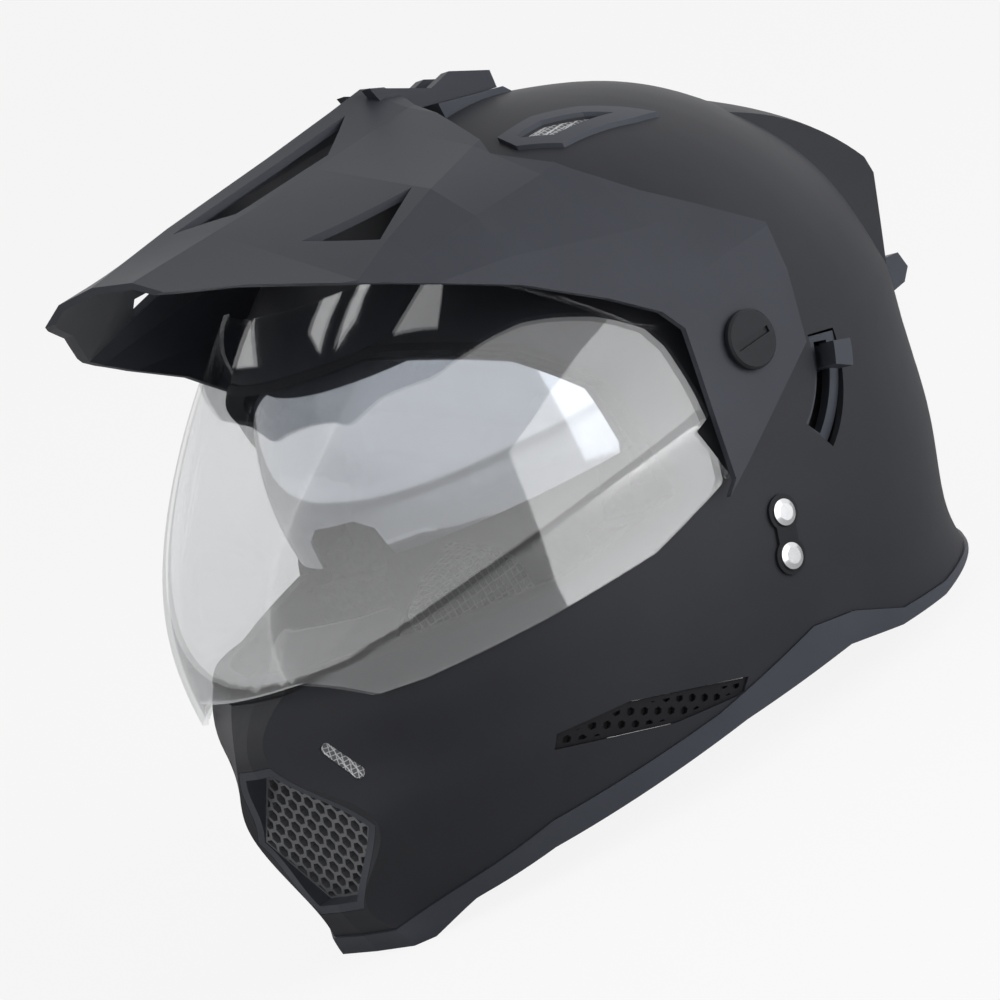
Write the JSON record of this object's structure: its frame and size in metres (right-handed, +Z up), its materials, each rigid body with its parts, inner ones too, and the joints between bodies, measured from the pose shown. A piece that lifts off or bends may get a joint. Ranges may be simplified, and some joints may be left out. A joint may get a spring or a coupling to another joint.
{
  "type": "dual sport helmet",
  "caption": "Full-face dual sport helmet with a faceted peak, clear shield, drop-down silver sun visor, honeycomb chin vent and ringed chin strap.",
  "frame": {"origin": "centre of the bounding box on the surface that the lower rim rests on", "axes": "+Z up, front faces -Y, +X is the wearer's left"},
  "size_m": [0.26, 0.3314, 0.265],
  "materials": {
    "shell_plastic": "matte charcoal",
    "trim_plastic": "satin dark grey",
    "peak_plastic": "matte charcoal, lighter on lit facets",
    "vent_plastic": "silver grey honeycomb and meshes",
    "shield_clear": "clear polycarbonate",
    "visor_silver": "silver mirrored sun visor",
    "seal_rubber": "black rubber",
    "foam": "dark polystyrene foam",
    "lining": "dark grey mesh cloth over foam",
    "webbing": "black woven webbing",
    "bright_metal": "bright plated steel",
    "screw_dark": "dark plastic with a coin slot"
  },
  "bodies": {
    "helmet": {"bottom_trim": "trim_plastic", "breath_guard": "trim_plastic", "chin_liner": "foam", "chin_vent_frame": "trim_plastic", "chin_vent_grille": "vent_plastic", "crown_pad": "lining", "eyeport_seal": "seal_rubber", "impact_liner": "foam", "left_anchor_plate": "bright_metal", "left_cheek_pad": "lining", "left_chin_mesh": "vent_plastic", "left_peak_screw": "screw_dark", "left_rear_vent": "trim_plastic", "left_shield_base": "trim_plastic", "left_side_vent": "trim_plastic", "left_strap": "webbing", "left_top_mesh": "vent_plastic", "left_top_vent": "trim_plastic", "left_visor_mount": "trim_plastic", "lever_track": "trim_plastic", "neck_roll": "lining", "outer_shell": "shell_plastic", "peak": "peak_plastic", "peak_top_mount": "trim_plastic", "right_anchor_plate": "bright_metal", "right_cheek_pad": "lining", "right_chin_mesh": "vent_plastic", "right_peak_screw": "screw_dark", "right_rear_vent": "trim_plastic", "right_shield_base": "trim_plastic", "right_side_vent": "trim_plastic", "right_strap": "webbing", "right_top_mesh": "vent_plastic", "right_top_vent": "trim_plastic", "right_visor_mount": "trim_plastic", "strap_rivets": "bright_metal"},
    "shield": {"face_shield": "shield_clear"},
    "visor": {"sun_visor": "visor_silver"},
    "visor_lever": {"sun_visor_lever": "trim_plastic"},
    "front_ring": {"d_ring_front": "bright_metal"},
    "back_ring": {"d_ring_back": "bright_metal"}
  },
  "joints": [
    {"name": "shield_pivot", "type": "hinge", "parent": "helmet", "child": "shield", "pos_m": [0, 0.01941, 0.135], "axis": [-1, 0, 0], "range_deg": [0, 22]},
    {"name": "sun_visor_pivot", "type": "hinge", "parent": "helmet", "child": "visor", "pos_m": [0, 0.01341, 0.132], "axis": [-1, 0, 0], "range_deg": [0, 40]},
    {"name": "lever_pivot", "type": "hinge", "parent": "helmet", "child": "visor_lever", "pos_m": [0, 0.01341, 0.132], "axis": [-1, 0, 0], "range_deg": [0, 26]},
    {"name": "front_ring_hinge", "type": "hinge", "parent": "helmet", "child": "front_ring", "pos_m": [0.02, 0.00141, 0.037], "axis": [0, 1, 0], "range_deg": [-45, 45]},
    {"name": "back_ring_hinge", "type": "hinge", "parent": "helmet", "child": "back_ring", "pos_m": [0.026, 0.00141, 0.037], "axis": [0, 1, 0], "range_deg": [-45, 45]}
  ],
  "couplings": [
    {"joint": "lever_pivot", "follows": "sun_visor_pivot", "ratio": 0.65},
    {"joint": "front_ring_hinge", "follows": "back_ring_hinge", "ratio": 1}
  ]
}
